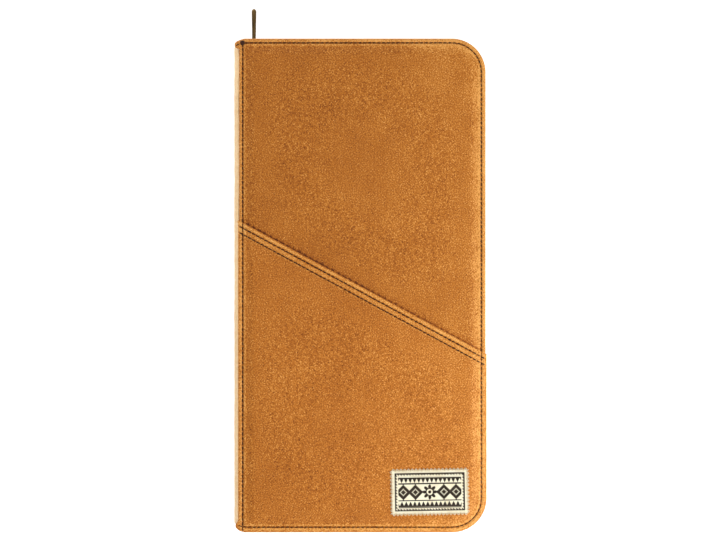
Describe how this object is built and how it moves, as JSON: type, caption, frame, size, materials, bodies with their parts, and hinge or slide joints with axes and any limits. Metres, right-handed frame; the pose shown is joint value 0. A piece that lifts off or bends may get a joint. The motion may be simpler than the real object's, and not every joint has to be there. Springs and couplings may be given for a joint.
{
  "type": "pen case",
  "caption": "Tall zip-round book case with padded canvas covers, a soft spine, elastic pen loops, a padded leaf and a sloping slip pocket on the front.",
  "frame": {"origin": "centre of the back cover's flat outer face, which the closed case rests on", "axes": "+X from the spine to the fore edge, +Y from the foot to the head, +Z from the back cover to the front cover"},
  "size_m": [0.1814, 0.3766, 0.045],
  "materials": {
    "tan_canvas": "waxed cotton canvas, tan, fine woven grain, matte",
    "pale_canvas": "smooth pale tan spine cloth, matte",
    "foam": "soft padding sheet",
    "board": "grey-brown stiffening board",
    "lining": "brown brushed plush lining",
    "zip_tape": "woven polyester zip tape, tan",
    "zip_coil": "brown nylon coil",
    "elastic": "dark brown ribbed elastic",
    "label_cloth": "cream woven label",
    "aged_brass": "antique brass, brushed and darkened",
    "thread": "dark brown sewing thread"
  },
  "bodies": {
    "back_half": {"back_canvas": "tan_canvas", "back_foam": "foam", "back_board": "board", "back_lining": "lining", "back_gusset": "tan_canvas", "back_zip_tape": "zip_tape", "back_zip_coil": "zip_coil", "back_zip_stop_head": "aged_brass", "back_zip_stop_foot": "aged_brass", "back_loop_band_1": "elastic", "back_loop_band_2": "elastic", "back_loop_band_3": "elastic", "back_loop_band_4": "elastic"},
    "spine": {"spine_canvas": "pale_canvas", "spine_board": "board", "spine_lining": "lining"},
    "front_half": {"front_canvas": "tan_canvas", "front_foam": "foam", "front_board": "board", "front_lining": "lining", "front_gusset": "tan_canvas", "front_zip_tape": "zip_tape", "front_zip_coil": "zip_coil", "front_zip_stop_head": "aged_brass", "front_zip_stop_foot": "aged_brass", "front_loop_band_1": "elastic", "front_loop_band_2": "elastic", "front_loop_band_3": "elastic", "front_loop_band_4": "elastic", "front_pocket_panel": "tan_canvas", "front_label": "label_cloth"},
    "leaf": {"leaf_hinge_strip": "lining", "leaf_skin_back": "lining", "leaf_core": "board", "leaf_skin_front": "lining"},
    "zip_slider": {"zip_slider_body": "aged_brass"},
    "zip_pull": {"zip_pull_tab": "aged_brass"}
  },
  "joints": [
    {"name": "spine_hinge", "type": "hinge", "parent": "back_half", "child": "spine", "pos_m": [-0.0881, 0, 0.0045], "axis": [0, -1, 0], "range_deg": [0, 90]},
    {"name": "cover_hinge", "type": "hinge", "parent": "spine", "child": "front_half", "pos_m": [-0.0881, 0, 0.0405], "axis": [0, -1, 0], "range_deg": [0, 90]},
    {"name": "leaf_hinge", "type": "hinge", "parent": "spine", "child": "leaf", "pos_m": [-0.0874, 0, 0.02145], "axis": [0, -1, 0], "range_deg": [-45, 0]},
    {"name": "slider_travel", "type": "slide", "parent": "back_half", "child": "zip_slider", "axis": [1, 0, 0], "range_m": [0, 0.137]},
    {"name": "pull_swing", "type": "hinge", "parent": "zip_slider", "child": "zip_pull", "pos_m": [-0.0782, 0.1745, 0.02145], "axis": [0, 0, 1], "range_deg": [-75, 75]}
  ],
  "couplings": [
    {"joint": "cover_hinge", "follows": "spine_hinge", "ratio": 1},
    {"joint": "leaf_hinge", "follows": "spine_hinge", "ratio": -0.5}
  ]
}
